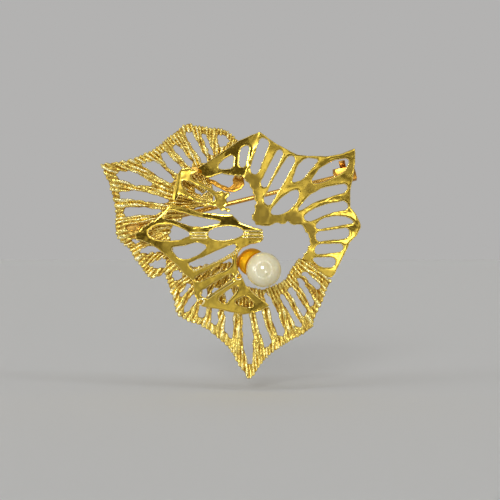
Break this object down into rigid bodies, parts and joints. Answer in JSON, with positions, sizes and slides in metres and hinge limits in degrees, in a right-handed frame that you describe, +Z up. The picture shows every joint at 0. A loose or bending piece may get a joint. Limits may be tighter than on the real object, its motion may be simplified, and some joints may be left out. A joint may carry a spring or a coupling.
{
  "type": "openwork leaf brooch",
  "caption": "Openwork brooch of overlapping bark-textured and polished gold leaves round one pearl, with a hinged pin and a roll-over safety catch.",
  "frame": {"origin": "middle of the closed pin, on the pin's axis", "axes": "+X to the wearer's left as seen from the front, +Y from the front of the brooch to the garment, +Z up as worn"},
  "size_m": [0.0418, 0.0133, 0.0412],
  "materials": {
    "textured_gold": "gold plate over bark-textured casting",
    "polished_gold": "mirror-polished gold plate",
    "cup_gold": "satin orange gold plate",
    "fitting_gold": "plain gold plate",
    "pearl": "cream pearl lustre"
  },
  "bodies": {
    "brooch": {"left_leaf": "textured_gold", "bottom_leaf": "textured_gold", "right_leaf": "polished_gold", "centre_leaf": "polished_gold", "upper_petal": "polished_gold", "rear_arch": "polished_gold", "post_left_bottom": "fitting_gold", "post_left_right": "fitting_gold", "post_left_centre": "fitting_gold", "post_left_petal": "fitting_gold", "post_right_bottom": "fitting_gold", "post_bottom_centre": "fitting_gold", "post_right_petal": "fitting_gold", "post_arch_right": "fitting_gold", "pearl": "pearl", "pearl_cup": "cup_gold", "pearl_peg": "cup_gold", "cup_stem": "fitting_gold", "hinge_fork": "fitting_gold", "hinge_rivet": "fitting_gold", "catch_plate": "fitting_gold", "catch_housing": "fitting_gold"},
    "pin": {"pin_knuckle": "fitting_gold", "pin_stem": "fitting_gold"},
    "roller": {"catch_roller": "fitting_gold"}
  },
  "joints": [
    {"name": "pin_hinge", "type": "hinge", "parent": "brooch", "child": "pin", "pos_m": [-0.01747, 0, -0.00432], "axis": [-0.2402, 0, 0.9707], "range_deg": [0, 80]},
    {"name": "catch_roll", "type": "hinge", "parent": "brooch", "child": "roller", "pos_m": [0.01747, 0, 0.00432], "axis": [-0.9707, 0, -0.2402], "range_deg": [0, 140]}
  ]
}
